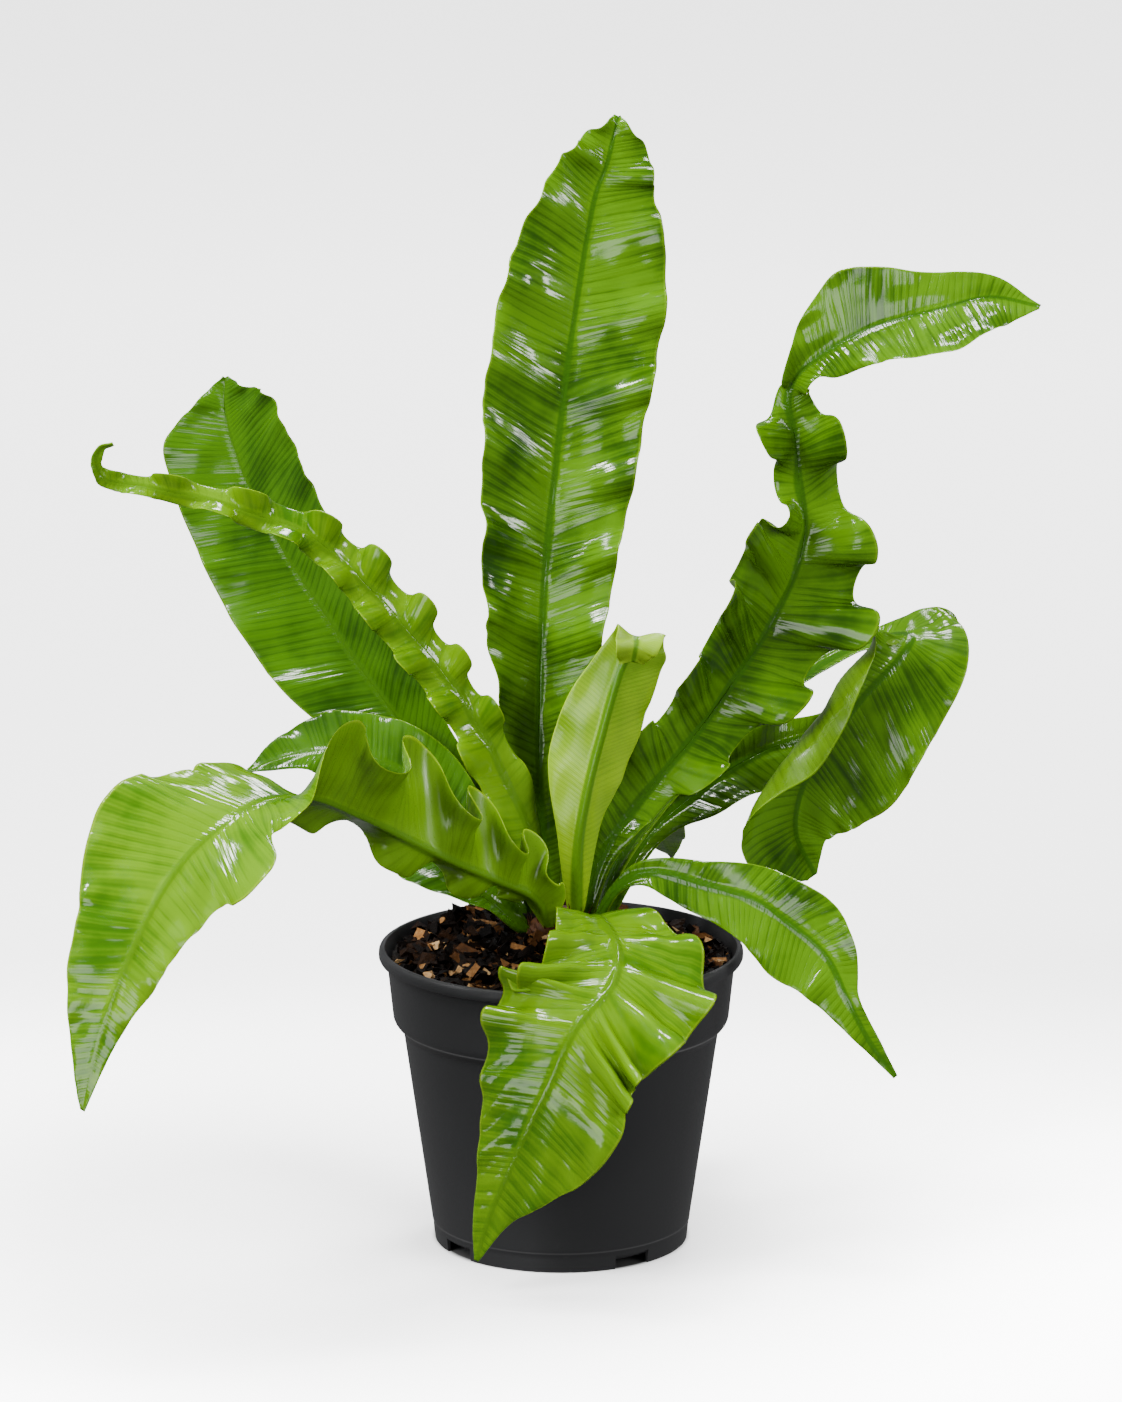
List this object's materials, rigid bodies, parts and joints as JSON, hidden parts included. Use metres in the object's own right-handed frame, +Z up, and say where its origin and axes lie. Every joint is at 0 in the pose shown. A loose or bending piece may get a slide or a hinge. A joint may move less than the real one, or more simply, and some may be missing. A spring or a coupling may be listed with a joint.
{
  "type": "potted fern",
  "caption": "Bird's nest fern with long strap fronds and waved, crisped margins, in a tapered nursery pot with a collar and rolled rim.",
  "frame": {"origin": "centre of the pot's flat base, on the ground", "axes": "+Z up the pot's axis, -Y towards the viewer of the picture, +X to the viewer's right; -Z is the outward normal of the base"},
  "size_m": [0.3837, 0.302, 0.4605],
  "materials": {
    "pot": "satin moulded plastic, dark grey",
    "potting_mix": "damp bark and peat, rough",
    "crown": "brown scales, matt",
    "leaf_green": "glossy leaf, mid green",
    "leaf_bright": "glossy leaf, bright yellow green",
    "leaf_dark": "glossy leaf, dark green",
    "leaf_young": "satin young leaf, pale green"
  },
  "bodies": {
    "root": {"pot": "pot", "potting_mix": "potting_mix", "crown": "crown", "frond_tall_centre": "leaf_green", "frond_young": "leaf_young", "frond_twisted_right": "leaf_green", "frond_arched_right": "leaf_green", "frond_straight_right": "leaf_green", "frond_low_right": "leaf_green", "frond_front": "leaf_bright", "frond_big_left": "leaf_bright", "frond_broad_left": "leaf_dark", "frond_crisped_left": "leaf_bright", "frond_side_left": "leaf_dark", "frond_low_left": "leaf_dark", "frond_back": "leaf_dark", "frond_back_right": "leaf_dark"}
  },
  "joints": []
}
